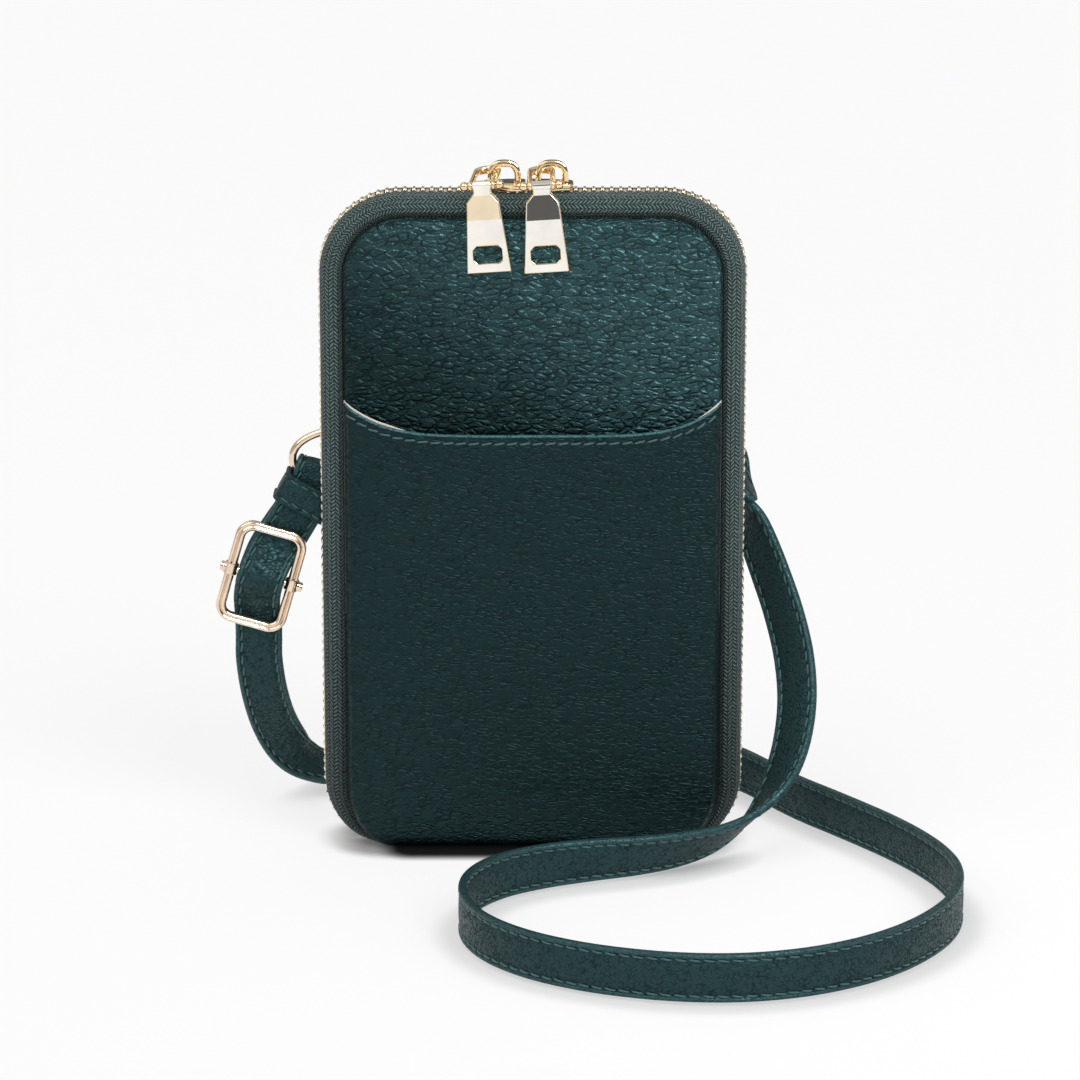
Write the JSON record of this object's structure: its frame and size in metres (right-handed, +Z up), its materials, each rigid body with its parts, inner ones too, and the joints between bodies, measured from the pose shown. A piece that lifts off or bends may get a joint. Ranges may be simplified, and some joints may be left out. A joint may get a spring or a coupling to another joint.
{
  "type": "zip-round crossbody phone wallet",
  "caption": "Upright pebbled leather wallet that zips round three sides, with two sliders head to head, a front slip pocket and a long strap on rings at the back.",
  "frame": {"origin": "middle of the case's resting face, in the plane of the zip's teeth", "axes": "+Z up, -Y towards the front of the case, +X to its right"},
  "size_m": [0.2016, 0.1943, 0.1912],
  "materials": {
    "leather": "pebbled, satin",
    "strap_leather": "smooth, satin",
    "lining": "plain weave",
    "board": "pressed fibre board",
    "tape": "herringbone weave",
    "gold": "polished, pale gold plating"
  },
  "bodies": {
    "back_half": {"back_panel": "leather", "back_stiffener": "board", "back_lining": "lining", "card_slot_upper": "lining", "card_slot_middle": "lining", "card_slot_lower": "lining", "back_zip_tape": "tape", "back_teeth": "gold", "base_panel": "leather", "zip_stop_left": "gold", "zip_stop_right": "gold", "ring_tab_left": "leather", "ring_tab_right": "leather", "strap": "strap_leather"},
    "front_half": {"front_panel": "leather", "front_stiffener": "board", "front_lining": "lining", "slip_pocket": "leather", "slip_pocket_lining": "lining", "front_zip_tape": "tape", "front_teeth": "gold"},
    "slider_left": {"slider_left": "gold"},
    "slider_right": {"slider_right": "gold"},
    "link_left": {"link_left": "gold", "pull_pin_left": "gold"},
    "link_right": {"link_right": "gold", "pull_pin_right": "gold"},
    "pull_left": {"pull_left": "gold"},
    "pull_right": {"pull_right": "gold"},
    "ring_left": {"d_ring_left": "gold", "strap_left_end": "strap_leather", "strap_keeper": "strap_leather", "buckle_frame": "gold"},
    "ring_right": {"d_ring_right": "gold", "strap_right_end": "strap_leather"},
    "buckle_bar": {"buckle_bar": "gold"}
  },
  "joints": [
    {"name": "front_opening", "type": "hinge", "parent": "back_half", "child": "front_half", "pos_m": [0, -0.0129, 0.0003], "axis": [1, 0, 0], "range_deg": [0, 40], "deforming": ["back_teeth", "front_teeth"]},
    {"name": "slider_left_slide", "type": "slide", "parent": "front_half", "child": "slider_left", "axis": [1, 0, 0], "range_m": [-0.0215, 0.0006], "deforming": ["back_teeth", "front_teeth"]},
    {"name": "link_left_swing", "type": "hinge", "parent": "slider_left", "child": "link_left", "pos_m": [-0.0122, 0, 0.18785], "axis": [0.9888, -0.1214, 0.0872], "range_deg": [-35, 0]},
    {"name": "pull_left_swing", "type": "hinge", "parent": "link_left", "child": "pull_left", "pos_m": [-0.01349, -0.01142, 0.18654], "axis": [0.9888, -0.1214, 0.0872], "range_deg": [-150, 0]},
    {"name": "slider_right_slide", "type": "slide", "parent": "front_half", "child": "slider_right", "axis": [1, 0, 0], "range_m": [-0.0006, 0.024], "deforming": ["back_teeth", "front_teeth"]},
    {"name": "link_right_swing", "type": "hinge", "parent": "slider_right", "child": "link_right", "pos_m": [0.0023, 0, 0.18785], "axis": [0.9981, 0, 0.061], "range_deg": [-35, 0]},
    {"name": "pull_right_swing", "type": "hinge", "parent": "link_right", "child": "pull_right", "pos_m": [0.00238, -0.0115, 0.18654], "axis": [0.9981, 0, 0.061], "range_deg": [-150, 0]},
    {"name": "ring_left_swing", "type": "hinge", "parent": "back_half", "child": "ring_left", "pos_m": [-0.0508, 0.013, 0.1056], "axis": [0, 0, 1], "range_deg": [-60, 0], "deforming": ["strap"]},
    {"name": "ring_right_swing", "type": "hinge", "parent": "back_half", "child": "ring_right", "pos_m": [0.0508, 0.013, 0.1056], "axis": [0, 0, 1], "range_deg": [-40, 20], "deforming": ["strap"]},
    {"name": "buckle_bar_slide", "type": "slide", "parent": "ring_left", "child": "buckle_bar", "axis": [-0.2807, 0, -0.9598], "range_m": [-0.008, 0.008], "deforming": ["strap_left_end"]}
  ]
}
